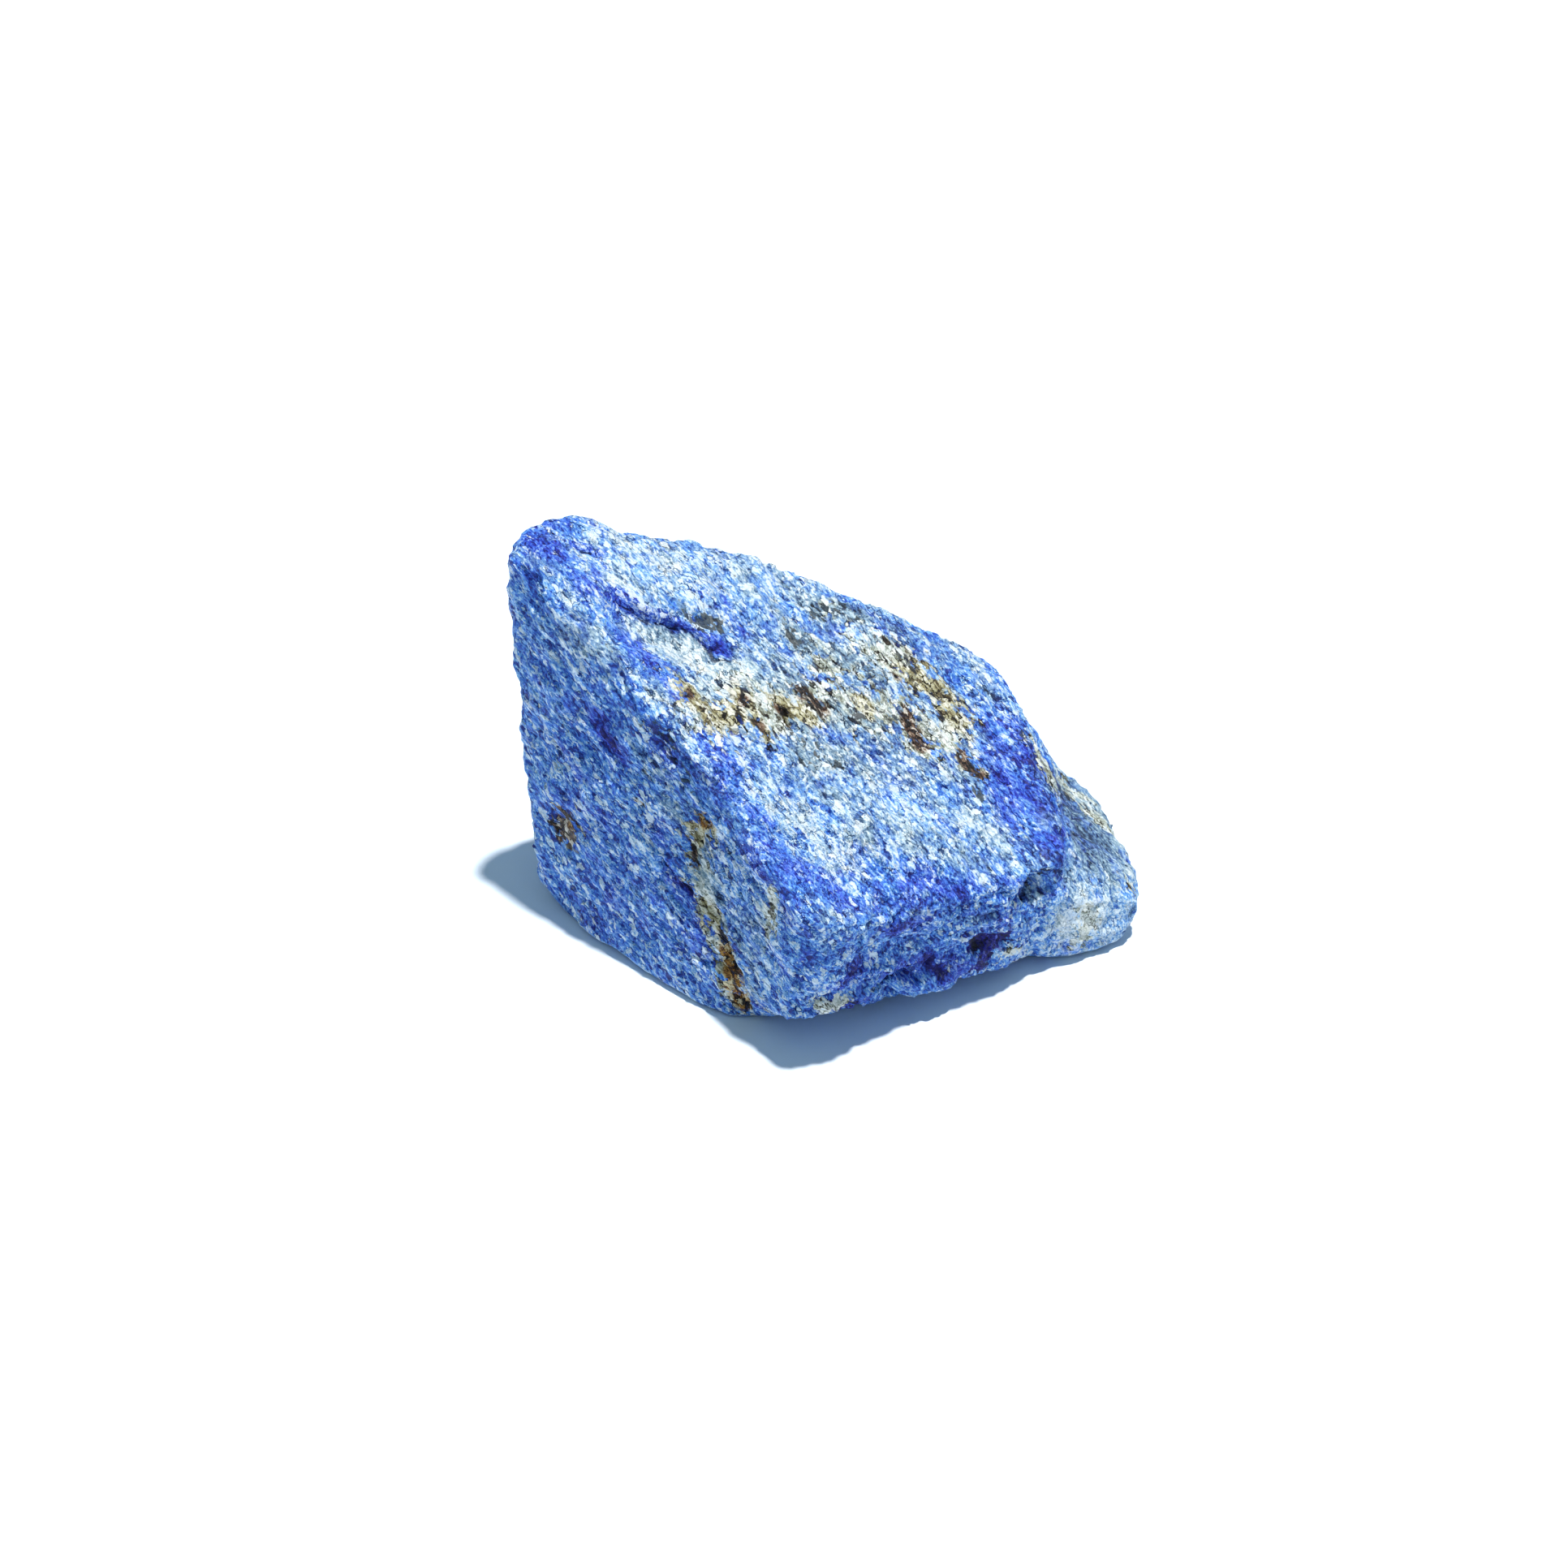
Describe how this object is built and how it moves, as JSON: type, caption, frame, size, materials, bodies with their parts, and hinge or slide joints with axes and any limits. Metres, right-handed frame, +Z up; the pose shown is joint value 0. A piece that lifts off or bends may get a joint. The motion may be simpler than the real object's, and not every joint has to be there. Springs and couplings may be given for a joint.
{
  "type": "rough lapis lazuli",
  "caption": "Rough lapis lazuli: a broken blue lump of rock with a tall steep left face, a top sloping down to the right, a low lobe at its right end, and a flat foot that it rests on.",
  "frame": {"origin": "on the table, under the middle of the stone's bounding box", "axes": "+X along the stone, from the tall left end to the low lobe; +Y from the viewer to the back; +Z up"},
  "size_m": [0.0402, 0.0298, 0.026],
  "materials": {
    "lapis": "rough, sugary broken rock"
  },
  "bodies": {
    "root": {"lapis_stone": "lapis"}
  },
  "joints": []
}
